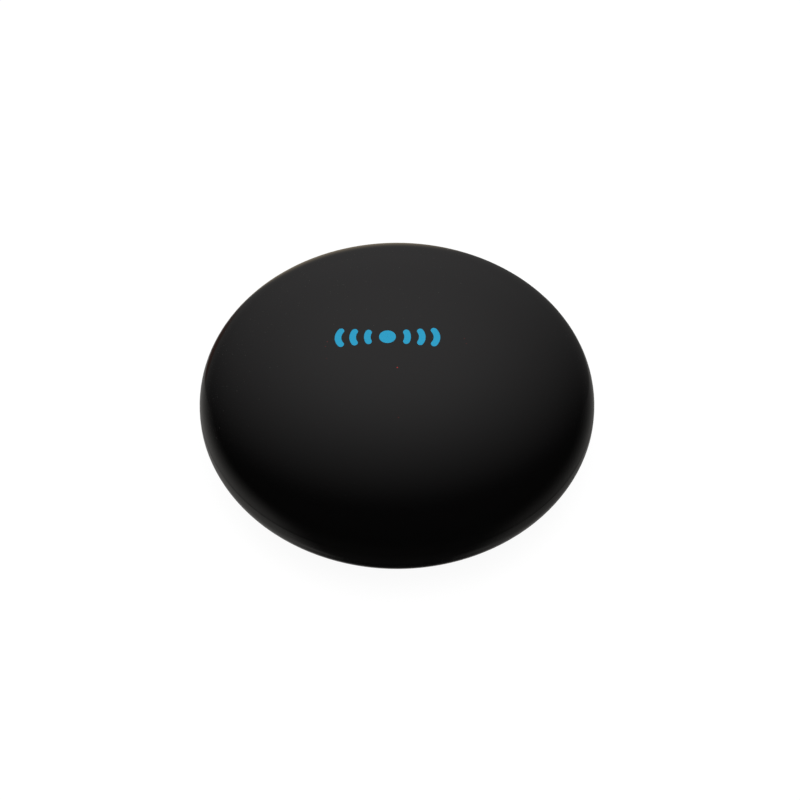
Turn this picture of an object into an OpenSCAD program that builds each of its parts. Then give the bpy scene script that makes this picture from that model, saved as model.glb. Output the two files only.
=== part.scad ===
// Smart infrared blaster: a glossy pebble-shaped casing that stands on a table.
// +Z is up and z = 0 is the table. The origin is under the centre of the casing.
// -Y is the front. +Y is the rear, with the power socket and the reset button.

/* [Casing outline] */
// Widest diameter of the casing
casing_d = 110; // [106:1:116]
// Height of the widest line above the table
equator_h = 15.5; // [15:0.1:16.5]
// Rise of the domed top above the widest line
dome_rise = 21.5; // [20:0.5:26]
// Fullness of the dome, where 2 is an ellipse
dome_power = 2.45; // [2.2:0.05:2.8]
// Depth below the widest line at which the belly curve would close
belly_depth = 27; // [26:0.5:30]
// Fullness of the belly, where 2 is an ellipse
belly_power = 1.82; // [1.75:0.01:2]
// Radius that rounds the belly into the flat underside
base_edge_r = 3; // [2:0.5:4]
// Wall thickness of both shells
wall = 2.2; // [2:0.1:2.6]
// Thickness of the flat floor
floor_t = 2.2; // [2:0.1:2.8]

/* [Seam between the shells] */
// Height of the seam above the widest line
seam_rise = 2.6; // [2.2:0.1:3.4]
// Chamfer on each shell that makes the fine outside groove
seam_chamfer = 0.15; // [0.1:0.05:0.3]
// Thickness of the lip on the base cover
lip_t = 1; // [0.8:0.1:1.1]
// Height of the lip
lip_h = 1.6; // [1.2:0.1:2.2]
// Clearance between the lip and its rebate
lip_gap = 0.1; // [0.05:0.05:0.2]

/* [Foot ring] */
// Middle diameter of the foot ring
foot_ring_circle = 75; // [73:0.5:77]
// Width of the foot ring across its band
foot_ring_w = 7; // [6.4:0.1:8]
// Thickness of the foot ring
foot_ring_t = 1.8; // [1.4:0.1:2]
// How far the foot ring stands out of the underside
foot_proud = 0.8; // [0.5:0.1:1]
// Clearance round the foot ring in its groove
foot_gap = 0.1; // [0.05:0.05:0.2]
// Chamfer on the edges that touch the table
foot_chamfer = 0.3; // [0.2:0.1:0.4]

/* [Case screws] */
// Number of screws that hold the shells together
case_screw_count = 4; // [3:1:4]
// Thread diameter
case_screw_d = 2.6; // [2.2:0.1:3]
// Length under the head
case_screw_l = 10; // [8:0.5:12]
// Head diameter
case_screw_head_d = 4.6; // [4:0.1:5]
// Head thickness
case_screw_head_t = 1.8; // [1.5:0.1:2.2]
// Height of the seat under the head above the table
case_screw_seat_h = 8; // [6:0.5:9]
// Plastic between the screw's seat and the top of the post
case_screw_web = 2.5; // [2:0.1:3]
// Diameter of the posts on the base cover
post_d = 8; // [7.6:0.1:8.4]
// Diameter of the bosses under the dome
boss_d = 6.6; // [6:0.1:7]
// Thickness of the rib beside each boss
boss_rib_t = 1.2; // [1:0.1:1.6]
// Width of the key that lets the shells close only one way round
key_w = 4; // [3:0.5:6]

/* [Ribs on the floor] */
// Height of the ribs that run from the hub to the wall
floor_rib_h = 1.6; // [1:0.1:2.4]
// Thickness of those ribs
floor_rib_t = 1; // [0.8:0.1:1.4]
// Outer diameter of the hub in the middle
floor_hub_d = 22; // [16:1:30]
// Thickness of the gussets beside each standoff
gusset_t = 1; // [0.8:0.1:1.4]
// Reach of the gussets beyond the standoff
gusset_l = 2.4; // [1.5:0.1:3]
// Height of the gussets above the floor
gusset_h = 6; // [4:0.5:8]

/* [Circuit board] */
// Diameter of the round part of the board
board_d = 66; // [64:0.5:66.5]
// Thickness of the board
board_t = 1.6; // [1.2:0.1:1.6]
// Height of the standoffs above the floor
standoff_h = 10.9; // [10.5:0.1:11.2]
// Diameter of the standoffs
standoff_d = 5.6; // [5:0.1:6]
// Diameter of the circle of board screws
board_screw_circle = 54; // [52:0.5:56]
// Number of board screws
board_screw_count = 4; // [2:2:4]
// Thread diameter of the board screws
board_screw_d = 2; // [1.8:0.1:2.2]
// Length of the board screws under the head
board_screw_l = 7; // [6:0.5:8]
// Head diameter of the board screws
board_screw_head_d = 3.8; // [3.4:0.1:4]
// Head thickness of the board screws
board_screw_head_t = 1.3; // [1:0.1:1.6]
// Width of the rear tongue on the left of the socket
tongue_left = 9; // [8:0.5:10]
// Width of the rear tongue on the right of the socket
tongue_right = 16.5; // [16:0.1:17]

/* [Infrared LEDs] */
// Number of LEDs in the ring
led_count = 8; // [4:4:8]
// Diameter of the LED body
led_d = 5; // [4.5:0.1:5.2]
// Length of the LED body with its dome
led_l = 8.6; // [8:0.1:9]
// Diameter of the flange
led_flange_d = 5.8; // [5.4:0.1:6]
// Thickness of the flange
led_flange_t = 1; // [0.8:0.1:1.2]
// Distance of the dome's tip inside the edge of the board
led_inset = 1; // [0.5:0.5:2]
// Gap between the flange and the board
led_lift = 0.2; // [0.1:0.1:0.6]
// Distance between the two legs
led_pitch = 2.54; // [2.3:0.01:2.6]
// Thickness of a leg
lead_t = 0.5; // [0.4:0.05:0.6]
// Inner radius of the bend in a leg
lead_bend_r = 0.6; // [0.4:0.1:1]
// Straight length of a leg behind the flange
lead_stub = 0.8; // [0.5:0.1:1]
// Length of a leg below the board
lead_tail = 1; // [0.6:0.1:1.4]
// Clearance of a leg in its hole
lead_gap = 0.1; // [0.05:0.05:0.15]
// Height of the upright LED's flange above the board
top_led_lift = 1; // [0.5:0.1:2]

/* [Power socket] */
// Width of the socket's metal shell
usb_w = 7.5; // [7:0.1:7.8]
// Height of the metal shell
usb_h = 2.7; // [2.4:0.1:2.8]
// Depth of the metal shell
usb_depth = 5; // [4.8:0.1:5.6]
// Sheet thickness of the shell
usb_sheet_t = 0.3; // [0.2:0.05:0.35]
// How far the socket's mouth overhangs the board
usb_overhang = 1.5; // [1.4:0.1:1.6]
// Width of the recess for the plug's grip
usb_recess_w = 12.5; // [11.5:0.1:13]
// Height of the recess
usb_recess_h = 8; // [7:0.1:8.2]
// Corner radius of the recess
usb_recess_r = 2; // [1:0.1:3]
// Distance from the widest line in to the recess's floor
usb_recess_depth = 6; // [5.8:0.1:6.2]
// Wall thickness round the recess
usb_recess_wall = 1.3; // [1.1:0.1:1.4]
// Clearance round the socket in its slot
usb_gap = 0.25; // [0.15:0.05:0.3]

/* [Reset button] */
// Distance of the button to the right of the socket
button_x = 11.5; // [11.4:0.1:11.8]
// Diameter of the cap
button_d = 4.2; // [3.6:0.1:4.2]
// Height that the cap stands out of its flat
button_proud = 0.5; // [0.3:0.1:0.8]
// Travel of the button
button_travel = 0.3; // [0.2:0.05:0.4]
// Radial clearance of the cap in its bore
button_gap = 0.1; // [0.05:0.05:0.1]
// Diameter of the collar that keeps the button in
button_collar_d = 5.6; // [5.4:0.1:5.8]
// Thickness of the collar
button_collar_t = 0.8; // [0.6:0.1:1]
// Diameter of the stem that pushes the switch
button_stem_d = 2.4; // [2:0.1:2.6]
// Length of the guide bore
button_guide_l = 2.4; // [2.2:0.1:2.6]
// Outer diameter of the guide
button_guide_d = 6.8; // [6.4:0.1:6.8]
// Diameter of the flat round the button
button_flat_d = 6.4; // [6:0.1:6.6]
// Distance from the widest line in to the flat
button_flat_depth = 3.7; // [3.5:0.1:3.8]

/* [Tactile switch] */
// Width of the switch
switch_w = 6; // [5.6:0.1:6.2]
// Depth of the switch's moulded body
switch_depth = 3.2; // [3:0.1:3.5]
// Height of the switch
switch_h = 3.5; // [3.2:0.1:3.8]
// Thickness of the metal front plate
switch_plate_t = 0.3; // [0.2:0.05:0.4]
// Width of the plunger
plunger_w = 2.6; // [2.2:0.1:3]
// Height of the plunger
plunger_h = 1.5; // [1.2:0.1:1.7]
// How far the plunger stands out of the front plate
plunger_proud = 1.3; // [1.1:0.1:1.5]
// Clearance round the plunger
plunger_gap = 0.1; // [0.05:0.05:0.15]
// Distance of the front plate inside the edge of the board
switch_inset = 2; // [1.7:0.1:2.4]

/* [Wireless module] */
// Width of the module's board
wifi_w = 16; // [15:0.5:16]
// Length of the module's board
wifi_l = 24; // [23:0.5:24]
// Thickness of the module's board
wifi_t = 0.8; // [0.6:0.1:1]
// Width of the metal can
shield_w = 12; // [11:0.5:12.5]
// Length of the metal can
shield_l = 15; // [14:0.5:15.5]
// Height of the metal can
shield_h = 2.2; // [2:0.1:2.6]
// Sheet thickness of the can
shield_sheet_t = 0.25; // [0.2:0.05:0.3]
// Width of the radio chip
wifi_chip_w = 5; // [4:0.5:6]
// Thickness of the radio chip
wifi_chip_t = 0.9; // [0.7:0.1:1.1]
// Width of the antenna's copper line
antenna_line_w = 0.5; // [0.4:0.05:0.6]
// Thickness of the antenna's copper line
antenna_line_t = 0.1; // [0.08:0.01:0.12]
// Number of loops in the antenna
antenna_loops = 5; // [3:1:6]

/* [Infrared receiver] */
// Width of the receiver
receiver_w = 5.8; // [5.4:0.1:6]
// Thickness of the receiver's block
receiver_t = 3.4; // [3:0.1:3.6]
// Height of the receiver
receiver_h = 6.9; // [6.5:0.1:7.2]
// Diameter of the round lens on its front
receiver_lens_d = 4.6; // [4:0.1:5]
// Height of the receiver above the board
receiver_lift = 1.2; // [0.8:0.1:2]

/* [Parts on the board] */
// Body of the infrared controller: across, along and up
controller_size = [3.9, 9.9, 1.5]; // [1.5:0.1:10]
// Number of pins on each side of the controller
controller_pins_per_side = 8; // [6:1:8]
// Body of the voltage regulator: across, along and up
regulator_size = [6.5, 3.5, 1.6]; // [1.5:0.1:6.6]
// Body of a driver transistor: across, along and up
transistor_size = [2.9, 1.3, 1]; // [0.8:0.1:3]
// Body of the protection diode: across, along and up
diode_size = [4.4, 2.6, 2.2]; // [1.5:0.1:4.5]
// Body of a chip resistor: across, along and up
resistor_size = [1.6, 0.8, 0.45]; // [0.4:0.05:1.6]
// Body of a chip capacitor: across, along and up
chip_capacitor_size = [2, 1.25, 1.2]; // [0.8:0.05:2]
// Body of the status LED: across, along and up
status_led_size = [3.2, 1.6, 1.1]; // [0.8:0.1:3.2]
// Diameter of the bulk capacitor's can
bulk_capacitor_d = 6.3; // [5:0.1:6.5]
// Height of the bulk capacitor above the board
bulk_capacitor_h = 7.7; // [5.5:0.1:8]
// Thickness of the plastic base under the can
capacitor_base_t = 0.9; // [0.7:0.1:1.2]
// Thickness of the sheet that chip legs are pressed from
pin_t = 0.2; // [0.15:0.05:0.25]

/* [Hidden] */

// Roundness of revolved shells, of screws and posts, and of holes for legs
shell_fn = 180;
round_fn = 48;
hole_fn = 24;
// Segments along a quarter of the casing's outline
outline_steps = 30;
// Rounds of halving that find where the belly meets its edge radius
search_count = 30;
// Extra length of every cut, so that it breaks through the surface
overrun = 1;

casing_r = casing_d / 2;
underside_h = foot_proud;
floor_h = underside_h + floor_t;
seam_h = equator_h + seam_rise;
crown_h = equator_h + dome_rise;
groove_top_h = foot_ring_t;

case_angle = 22.5;
screw_gap = 0.05;
case_well_gap = 0.3;
case_well_d = case_screw_head_d + 2 * case_well_gap;
case_hole_d = case_screw_d + 2 * case_well_gap;
post_top_h = case_screw_seat_h + case_screw_web;
case_tip_h = case_screw_seat_h + case_screw_l;

board_angle = 3 * case_angle;
board_h = floor_h + standoff_h;
board_top_h = board_h + board_t;
board_hole_gap = 0.15;
board_post_gap = 0.3;
tongue_r = 1;
recess_floor_y = casing_r - usb_recess_depth;
recess_back_y = recess_floor_y - usb_recess_wall;
board_play = 0.2;
tongue_y = recess_back_y - board_play;

led_axis_h = board_top_h + led_lift + led_flange_d / 2;
led_tip_r = board_d / 2 - led_inset;
led_back_r = led_tip_r - led_l;
lead_drop_r = led_back_r - lead_stub - lead_bend_r - lead_t / 2;
lead_hole_d = lead_t * sqrt(2) + 2 * lead_gap;
led_flat_share = 0.46;

usb_axis_h = board_h - usb_h / 2;
usb_mouth_y = tongue_y + usb_overhang;
usb_back_y = usb_mouth_y - usb_depth;

button_axis_h = board_h - switch_h / 2;
button_flat_y = casing_r - button_flat_depth;
button_tip_y = button_flat_y + button_proud;
guide_back_y = button_flat_y - button_guide_l;
collar_play = 0.1;
collar_front_y = guide_back_y - collar_play;
collar_back_y = collar_front_y - button_collar_t;
switch_front_y = tongue_y - switch_inset;
plunger_tip_y = switch_front_y + plunger_proud;
plate_back_y = switch_front_y - switch_plate_t;
switch_back_y = plate_back_y - switch_depth;
plunger_head_share = 1.5;
plunger_head_t = plunger_h / 2;
plunger_head_y = plate_back_y - plunger_gap - plunger_head_t;

// Shares of the board's radius that place its parts forward and back
top_led_share = 0.12;
receiver_share = -0.31;
status_led_share = -0.54;
controller_share = -0.1;
bulk_capacitor_share = 0.28;
transistor_place_shares = [[0.2, -0.5], [0.36, -0.4]];

function on_board(share) = share * board_d / 2;

// From left to right: legs of the ring, wireless module, upright column, controller, legs.
// The column with the upright LED stays central unless a small board leaves no room for that.
leg_inner_r = lead_drop_r - lead_t / 2;
wifi_leg_gap = 1.95;
column_gap = 0.65;
wifi_x = wifi_w / 2 + max(wifi_leg_gap - leg_inner_r, -wifi_w - column_gap - led_flange_d / 2);
column_x = max(0, wifi_x + wifi_w / 2 + column_gap + led_flange_d / 2);
controller_x = (column_x + led_flange_d / 2 + leg_inner_r) / 2;

wifi_place = [wifi_x, 0];
top_led_place = [column_x, on_board(top_led_share)];
receiver_place = [column_x, on_board(receiver_share)];
status_led_place = [0, on_board(status_led_share)];
controller_place = [controller_x, on_board(controller_share)];
bulk_capacitor_place = [controller_x, on_board(bulk_capacitor_share)];

// Under the board: the diode and a capacitor behind the socket, the regulator inside the legs
power_row_gap = 3.1;
power_row_y = usb_back_y - power_row_gap - diode_size[1] / 2;
diode_place = [-usb_w / 2, power_row_y];
regulator_gap = 2;
regulator_reach = regulator_size[1] / 2;
regulator_y = leg_inner_r - regulator_gap - regulator_size[1] / 2 - regulator_reach;
regulator_place = [0, regulator_y];
filter_gap = 1.5;
filter_x = (regulator_size[0] + chip_capacitor_size[0]) / 2 + filter_gap;
chip_capacitor_places = [
    [filter_x, regulator_y],
    [-filter_x, regulator_y],
    [usb_w / 2, power_row_y],
    [wifi_x, wifi_l / 3]
];

usb_tab_row_shares = [0.2, 0.5];
usb_tab_l = 0.9;
usb_tongue_t = usb_h / 4;
usb_base_l = usb_depth / 5;
usb_contact_pitch = usb_w / 12;
usb_contact_w = usb_contact_pitch / 2;
usb_contact_t = usb_tongue_t / 4;
usb_contact_gap = 0.03;
receiver_pitch = receiver_w / 2 - lead_t;
wifi_pads_per_side = 8;
wifi_pad_pitch = wifi_l * 2 / (3 * wifi_pads_per_side);

// Radius of a superellipse at a given distance from its widest line, and the distance at a radius
function curve_r(z, r, h, p) = r * pow(1 - pow(abs(z) / h, p), 1 / p);
function curve_z(at, r, h, p) = h * pow(1 - pow(at / r, p), 1 / p);

// Turn along a quarter outline at which it reaches a distance from the widest line
function turn_at(z, h, p) = asin(pow(z / h, p / 2));

// Points of a quarter outline between two turns: 0 is the widest line, 90 the axis
function curve_points(r, h, p, from, to, up = 1) = [
    for (i = [0:outline_steps])
        let (t = from + (to - from) * i / outline_steps)
            [r * pow(cos(t), 2 / p), up * h * pow(sin(t), 2 / p)]
];

function dome_points(inset, from_z) =
    let (h = dome_rise - inset)
        curve_points(casing_r - inset, h, dome_power, turn_at(from_z, h, dome_power), 90);

function belly_points(inset, to_turn) =
    curve_points(casing_r - inset, belly_depth - inset, belly_power, 0, to_turn, -1);

function flank_points(inset) =
    let (h = dome_rise - inset)
        curve_points(casing_r - inset, h, dome_power, turn_at(seam_rise, h, dome_power), 0);

// Slope of the belly's outward normal below the horizontal
function belly_normal(t) =
    atan(casing_r / belly_depth * pow(tan(t), 2 * (belly_power - 1) / belly_power));

// Height of the underside that an edge radius starting at a given turn would give
function edge_bottom(t) =
    -belly_depth * pow(sin(t), 2 / belly_power) + base_edge_r * sin(belly_normal(t)) - base_edge_r;

// The turn at which that height is the underside, found by halving
function edge_turn(low, high, rounds) =
    let (middle = (low + high) / 2)
        rounds < 1 ? middle
        : edge_bottom(middle) > underside_h - equator_h ? edge_turn(middle, high, rounds - 1)
        : edge_turn(low, middle, rounds - 1);

edge_t = edge_turn(0, 90, search_count);
edge_normal = belly_normal(edge_t);
edge_x = casing_r * pow(cos(edge_t), 2 / belly_power) - base_edge_r * cos(edge_normal);
edge_arc_steps = 6;

function edge_points() = [
    for (i = [1:edge_arc_steps])
        let (a = edge_normal + (90 - edge_normal) * i / edge_arc_steps)
            [
                edge_x + base_edge_r * cos(a),
                underside_h - equator_h + base_edge_r * (1 - sin(a))
            ]
];

seam_r = curve_r(seam_rise, casing_r, dome_rise, dome_power);
seam_inner_r = curve_r(seam_rise, casing_r - wall, dome_rise - wall, dome_power);
rebate_r = seam_inner_r + lip_t + lip_gap;
rebate_z = seam_rise + lip_h + lip_gap;
rebate_inner_r = curve_r(rebate_z, casing_r - wall, dome_rise - wall, dome_power);
floor_turn = turn_at(equator_h - floor_h, belly_depth - wall, belly_power);

function reversed(list) = [for (i = [len(list) - 1:-1:0]) list[i]];
function tail(list) = [for (i = [1:len(list) - 1]) list[i]];

// Revolves an outline whose heights are counted from the widest line
module casing_revolve(points) {
    translate([0, 0, equator_h])
        rotate_extrude($fn = shell_fn)
            polygon(points);
}

module around(count, radius, turn) {
    for (i = [0:count - 1])
        rotate([0, 0, turn + 360 * i / count])
            translate([radius, 0, 0])
                children();
}

module case_screw_places() {
    around(case_screw_count, foot_ring_circle / 2, case_angle)
        children();
}

module board_screw_places() {
    around(board_screw_count, board_screw_circle / 2, board_angle)
        children();
}

module rounded_rectangle(w, h, r) {
    square([w - 2 * r, h], center = true);
    square([w, h - 2 * r], center = true);
    for (x = [-1, 1], y = [-1, 1])
        translate([x * (w / 2 - r), y * (h / 2 - r)])
            circle(r = r, $fn = round_fn);
}

// A bar along +Y from a starting distance, with a drawing of its cross-section in X and Z
module bar_along_y(from, to) {
    translate([0, to, 0])
        rotate([90, 0, 0])
            linear_extrude(to - from)
                children();
}

module rod_along_y(d, from, to) {
    bar_along_y(from, to)
        circle(d = d, $fn = round_fn);
}

// Upper shell: moulded in one piece with its screw bosses and their ribs
module dome_shell() {
    casing_revolve(concat(
        [[seam_r - seam_chamfer, seam_rise]],
        dome_points(0, seam_rise + seam_chamfer),
        reversed(dome_points(wall, rebate_z)),
        [[rebate_r, rebate_z], [rebate_r, seam_rise]]
    ));
}

// Space inside the middle of the walls, which trims what is moulded onto them
module dome_core() {
    middle = wall / 2;
    core_r = curve_r(seam_rise, casing_r - middle, dome_rise - middle, dome_power);
    casing_revolve(concat(
        [[0, -equator_h], [core_r, -equator_h]],
        dome_points(middle, seam_rise)
    ));
}

module screw_boss() {
    translate([0, 0, post_top_h])
        cylinder(d = boss_d, h = crown_h - post_top_h, $fn = round_fn);
    translate([0, -boss_rib_t / 2, seam_h + 2 * lip_h])
        cube([casing_r - foot_ring_circle / 2, boss_rib_t, dome_rise]);
}

// Stub of the seam's rebate left solid at the front, and the notch for it in the lip
module key_bar(w, from_r, to_r, h) {
    translate([-w / 2, -to_r, seam_h])
        cube([w, to_r - from_r, h]);
}

module seam_key() {
    intersection() {
        dome_core();
        difference() {
            key_bar(key_w, rebate_inner_r - lip_t, casing_r, 2 * lip_h);
            cylinder(r = seam_inner_r, h = crown_h, $fn = shell_fn);
        }
    }
}

module top_cover() {
    color("#101114")
        difference() {
            union() {
                dome_shell();
                seam_key();
                intersection() {
                    dome_core();
                    case_screw_places()
                        screw_boss();
                }
            }
            case_screw_places()
                translate([0, 0, post_top_h - overrun])
                    cylinder(
                        d = case_screw_d + 2 * screw_gap,
                        h = case_tip_h - post_top_h + case_screw_d / 2 + overrun,
                        $fn = round_fn
                    );
        }
}

// Lower shell: bowl, lip, posts, standoffs, socket recess and button guide in one moulding
module bowl_shell() {
    casing_revolve(concat(
        [
            [seam_inner_r, seam_rise],
            [seam_inner_r, seam_rise + lip_h],
            [seam_inner_r + lip_t, seam_rise + lip_h],
            [seam_inner_r + lip_t, seam_rise],
            [seam_r - seam_chamfer, seam_rise],
            [seam_r, seam_rise - seam_chamfer]
        ],
        tail(flank_points(0)),
        tail(belly_points(0, edge_t)),
        edge_points(),
        [[0, underside_h - equator_h], [0, floor_h - equator_h]],
        reversed(belly_points(wall, floor_turn)),
        tail(reversed(tail(flank_points(wall))))
    ));
}

module bowl_core() {
    middle = wall / 2;
    depth = equator_h - underside_h - floor_t / 2;
    core_turn = turn_at(depth, belly_depth - middle, belly_power);
    core_flank = flank_points(middle);
    casing_revolve(concat(
        [[0, seam_rise], core_flank[0]],
        tail(core_flank),
        tail(belly_points(middle, core_turn)),
        [[0, -depth]]
    ));
}

module recess_outline(extra) {
    rounded_rectangle(usb_recess_w + 2 * extra, usb_recess_h + 2 * extra, usb_recess_r + extra);
}

// Low ribs from the hub out to the posts and the standoffs
module floor_ribs() {
    rib_top_h = floor_h + floor_rib_h;
    difference() {
        cylinder(d = floor_hub_d, h = rib_top_h, $fn = round_fn);
        translate([0, 0, -overrun])
            cylinder(
                d = floor_hub_d - 2 * floor_rib_t,
                h = rib_top_h + 2 * overrun,
                $fn = round_fn
            );
    }
    around(case_screw_count + board_screw_count, (floor_hub_d - floor_rib_t) / 2, case_angle)
        translate([0, -floor_rib_t / 2, 0])
            cube([casing_r, floor_rib_t, rib_top_h]);
}

module standoff_gussets() {
    for (turn = [0:90:270])
        rotate([90, 0, turn])
            linear_extrude(gusset_t, center = true)
                polygon([
                    [0, 0],
                    [standoff_d / 2 + gusset_l, 0],
                    [standoff_d / 2 + gusset_l, floor_h],
                    [standoff_d / 2, floor_h + gusset_h],
                    [0, floor_h + gusset_h]
                ]);
}

module base_additions() {
    floor_ribs();
    case_screw_places()
        cylinder(d = post_d, h = post_top_h, $fn = round_fn);
    board_screw_places() {
        cylinder(d = standoff_d, h = board_h, $fn = round_fn);
        standoff_gussets();
    }
    translate([0, 0, usb_axis_h])
        bar_along_y(recess_back_y, casing_r)
            recess_outline(usb_recess_wall);
    translate([button_x, 0, button_axis_h])
        rod_along_y(button_guide_d, guide_back_y, casing_r);
}

module case_screw_cuts() {
    cylinder(d = case_well_d, h = case_screw_seat_h, $fn = round_fn);
    cylinder(d = case_hole_d, h = post_top_h + overrun, $fn = round_fn);
}

module foot_band(gap, from, to) {
    translate([0, 0, from])
        difference() {
            cylinder(d = foot_ring_circle + foot_ring_w + 2 * gap, h = to - from, $fn = shell_fn);
            translate([0, 0, -overrun])
                cylinder(
                    d = foot_ring_circle - foot_ring_w - 2 * gap,
                    h = to - from + 2 * overrun,
                    $fn = shell_fn
                );
        }
}

module base_cover() {
    color("#0c0d10")
        difference() {
            union() {
                bowl_shell();
                intersection() {
                    bowl_core();
                    base_additions();
                }
            }
            key_bar(key_w + 2 * lip_gap, rebate_inner_r - lip_t, rebate_r, lip_h + overrun);
            foot_band(foot_gap, 0, groove_top_h);
            case_screw_places()
                case_screw_cuts();
            board_screw_places()
                translate([0, 0, board_h - board_screw_l])
                    cylinder(
                        d = board_screw_d + 2 * screw_gap,
                        h = board_screw_l + overrun,
                        $fn = round_fn
                    );
            translate([0, 0, usb_axis_h]) {
                bar_along_y(recess_floor_y, casing_r + overrun)
                    recess_outline(0);
                bar_along_y(recess_back_y - overrun, recess_floor_y + overrun)
                    square([usb_w + 2 * usb_gap, usb_h + 2 * usb_gap], center = true);
            }
            translate([button_x, 0, button_axis_h]) {
                rod_along_y(button_d + 2 * button_gap, guide_back_y - overrun, casing_r);
                rod_along_y(button_flat_d, button_flat_y, casing_r);
                rod_along_y(button_collar_d + 2 * button_gap, switch_back_y, guide_back_y);
            }
        }
}

// Silicone ring glued into its groove over the screw wells
module foot_ring() {
    inner = (foot_ring_circle - foot_ring_w) / 2;
    outer = (foot_ring_circle + foot_ring_w) / 2;
    color("#3a3b3e")
        rotate_extrude($fn = shell_fn)
            polygon([
                [inner + foot_chamfer, 0],
                [outer - foot_chamfer, 0],
                [outer, foot_chamfer],
                [outer, foot_ring_t],
                [inner, foot_ring_t],
                [inner, foot_chamfer]
            ]);
}

// Pan-head screw pointing up, with its seat at z = 0 and a cross recess in its head
module screw(d, l, head_d, head_t) {
    recess_w = head_d / 5;
    recess_l = head_d * 0.6;
    difference() {
        rotate_extrude($fn = round_fn)
            polygon([
                [0, -head_t],
                [head_d * 0.3, -head_t],
                [head_d * 0.45, -head_t * 0.7],
                [head_d / 2, -head_t * 0.3],
                [head_d / 2, 0],
                [d / 2, 0],
                [d / 2, l - d / 2],
                [d / 6, l],
                [0, l]
            ]);
        for (turn = [0, 90])
            rotate([0, 0, turn])
                translate([-recess_l / 2, -recess_w / 2, -head_t - overrun])
                    cube([recess_l, recess_w, head_t / 2 + overrun]);
    }
}

module case_screws() {
    color("#9a9da3")
        case_screw_places()
            translate([0, 0, case_screw_seat_h])
                screw(case_screw_d, case_screw_l, case_screw_head_d, case_screw_head_t);
}

module board_screws() {
    color("#9a9da3")
        board_screw_places()
            translate([0, 0, board_top_h])
                mirror([0, 0, 1])
                    screw(board_screw_d, board_screw_l, board_screw_head_d, board_screw_head_t);
}

// Cap with a domed end, collar and stem, turned about the line that it slides on
module reset_button() {
    crown = button_proud / 2;
    stem_l = collar_back_y - plunger_tip_y;
    cap_l = button_tip_y - collar_front_y;
    color("#1c1d20")
        translate([button_x, plunger_tip_y, button_axis_h])
            rotate([-90, 0, 0])
                rotate_extrude($fn = round_fn)
                    polygon([
                        [0, 0],
                        [button_stem_d / 2, 0],
                        [button_stem_d / 2, stem_l],
                        [button_collar_d / 2, stem_l],
                        [button_collar_d / 2, stem_l + button_collar_t],
                        [button_d / 2, stem_l + button_collar_t],
                        [button_d / 2, stem_l + button_collar_t + cap_l - crown],
                        [button_d * 0.4, stem_l + button_collar_t + cap_l - crown / 4],
                        [button_d * 0.25, stem_l + button_collar_t + cap_l],
                        [0, stem_l + button_collar_t + cap_l]
                    ]);
}

// Tactile switch that is pushed from its side, hung under the board
module plunger_outline(gap) {
    rounded_rectangle(plunger_w + 2 * gap, plunger_h + 2 * gap, plunger_h / 4);
}

module switch_body() {
    cavity_w = plunger_w * plunger_head_share + 2 * plunger_gap;
    cavity_h = plunger_h * plunger_head_share + 2 * plunger_gap;
    cavity_back_y = plunger_head_y - button_travel - 2 * plunger_gap;
    color("#26272b")
        translate([button_x, 0, button_axis_h])
            difference() {
                bar_along_y(switch_back_y, plate_back_y)
                    rounded_rectangle(switch_w, switch_h, switch_h / 10);
                bar_along_y(cavity_back_y, plate_back_y + overrun)
                    square([cavity_w, cavity_h], center = true);
            }
}

module switch_plate() {
    color("#c9ccd2")
        translate([button_x, 0, button_axis_h])
            bar_along_y(plate_back_y, switch_front_y)
                difference() {
                    rounded_rectangle(switch_w, switch_h, switch_h / 10);
                    plunger_outline(plunger_gap);
                }
}

module switch_plunger() {
    color("#e8e6df")
        translate([button_x, 0, button_axis_h]) {
            bar_along_y(plunger_head_y + plunger_head_t, plunger_tip_y)
                plunger_outline(0);
            bar_along_y(plunger_head_y, plunger_head_y + plunger_head_t)
                square([plunger_w * plunger_head_share, plunger_h * plunger_head_share], center = true);
        }
}

// One bent leg of a chip: foot on the board at z = 0, reaching up and in to the body's side at x = 0
module gull_leg(w, reach, rise) {
    foot = reach / 2;
    translate([0, -w / 2, 0]) {
        translate([foot - pin_t / 2, 0, 0])
            cube([reach - foot + pin_t / 2, w, pin_t]);
        translate([foot - pin_t / 2, 0, 0])
            cube([pin_t, w, rise + pin_t]);
        translate([0, 0, rise])
            cube([foot + pin_t / 2, w, pin_t]);
    }
}

module under_board() {
    translate([0, 0, board_h])
        mirror([0, 0, 1])
            children();
}

module over_board() {
    translate([0, 0, board_top_h])
        children();
}

module chip_block(size) {
    translate([-size[0] / 2, -size[1] / 2, 0])
        cube(size);
}

module switch_pins() {
    leg_w = switch_depth / 4;
    reach = switch_h / 3;
    color("#c9ccd2")
        under_board()
            for (side = [-1, 1], row = [-1, 1])
                translate([
                    button_x + side * switch_w / 2,
                    (switch_back_y + plate_back_y) / 2 + row * switch_depth / 4,
                    0
                ])
                    mirror([side < 0 ? 1 : 0, 0, 0])
                        gull_leg(leg_w, reach, switch_h / 4);
}

// Round board with a rear tongue for the socket and the switch
module board_outline() {
    difference() {
        circle(d = board_d, $fn = shell_fn);
        case_screw_places()
            circle(d = post_d + 2 * board_post_gap, $fn = round_fn);
    }
    translate([-tongue_left, 0])
        square([tongue_left + tongue_right, tongue_y - tongue_r]);
    translate([-tongue_left + tongue_r, 0])
        square([tongue_left + tongue_right - 2 * tongue_r, tongue_y]);
    for (x = [-tongue_left + tongue_r, tongue_right - tongue_r])
        translate([x, tongue_y - tongue_r])
            circle(r = tongue_r, $fn = round_fn);
}

module lead_pair() {
    for (side = [-1, 1])
        translate([0, side * led_pitch / 2, 0])
            children();
}

module usb_tab_places() {
    for (side = [-1, 1], share = usb_tab_row_shares)
        translate([side * (usb_w - usb_sheet_t) / 2, usb_back_y + usb_depth * share, 0])
            children();
}

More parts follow.
